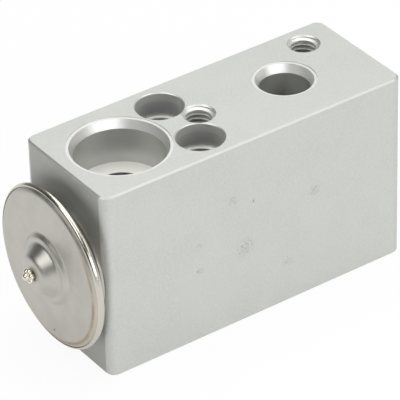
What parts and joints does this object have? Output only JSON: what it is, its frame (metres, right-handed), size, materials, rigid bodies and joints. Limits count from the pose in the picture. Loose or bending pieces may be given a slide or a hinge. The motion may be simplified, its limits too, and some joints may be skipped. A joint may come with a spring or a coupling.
{
  "type": "thermostatic expansion valve",
  "caption": "Rectangular metal block valve with round stepped ports, deep through holes, small threaded holes and a disc-shaped diaphragm head with a central dome on one end.",
  "frame": {"origin": "centre of the evaporator face, the flat underside of the block", "axes": "+X along the block, away from the diaphragm head; +Z from the evaporator face to the compressor face with its open ports; +Y completes the right-handed frame, on the side of the corner stud hole"},
  "size_m": [0.0802, 0.0338, 0.0411],
  "materials": {
    "block_aluminium": "matte, blasted and clear anodised",
    "turned_aluminium": "turned",
    "head_stainless": "satin, rolled and welded",
    "thin_stainless": "satin",
    "bright_steel": "polished",
    "spring_steel": "drawn wire",
    "turned_brass": "turned",
    "seal_rubber": "moulded, oiled",
    "sleeve_plastic": "moulded"
  },
  "bodies": {
    "housing": {"valve_body": "block_aluminium", "head_cover": "head_stainless", "fill_plug": "bright_steel", "diaphragm": "thin_stainless", "head_base": "head_stainless", "head_seal": "seal_rubber", "rod_seal": "seal_rubber", "seal_washer": "thin_stainless", "seal_clip": "thin_stainless"},
    "valve_train": {"diaphragm_pad": "turned_aluminium", "sensing_rod": "turned_aluminium", "rod_sleeve": "sleeve_plastic", "push_pin": "bright_steel", "valve_ball": "bright_steel", "ball_carrier": "turned_brass", "damper_spring": "thin_stainless"},
    "adjuster_carriage": {"spring_seat": "turned_brass", "adjuster_seal": "seal_rubber", "bias_spring": "spring_steel"},
    "adjuster": {"adjusting_screw": "turned_brass"}
  },
  "joints": [
    {"name": "valve_lift", "type": "slide", "parent": "housing", "child": "valve_train", "axis": [1, 0, 0], "range_m": [0, 0.0008], "stiffness_N_per_m": 800, "springref_m": -0.0005, "deforming": ["bias_spring", "diaphragm"]},
    {"name": "adjuster_advance", "type": "slide", "parent": "housing", "child": "adjuster_carriage", "axis": [1, 0, 0], "range_m": [-0.00101, 0.00101], "deforming": ["bias_spring"]},
    {"name": "adjuster_turn", "type": "hinge", "parent": "adjuster_carriage", "child": "adjuster", "pos_m": [0.03, 0, 0.0203], "axis": [1, 0, 0], "range_deg": [-360, 360]}
  ],
  "couplings": [
    {"joint": "adjuster_advance", "follows": "adjuster_turn", "m_per_rad": 0.00015915}
  ]
}
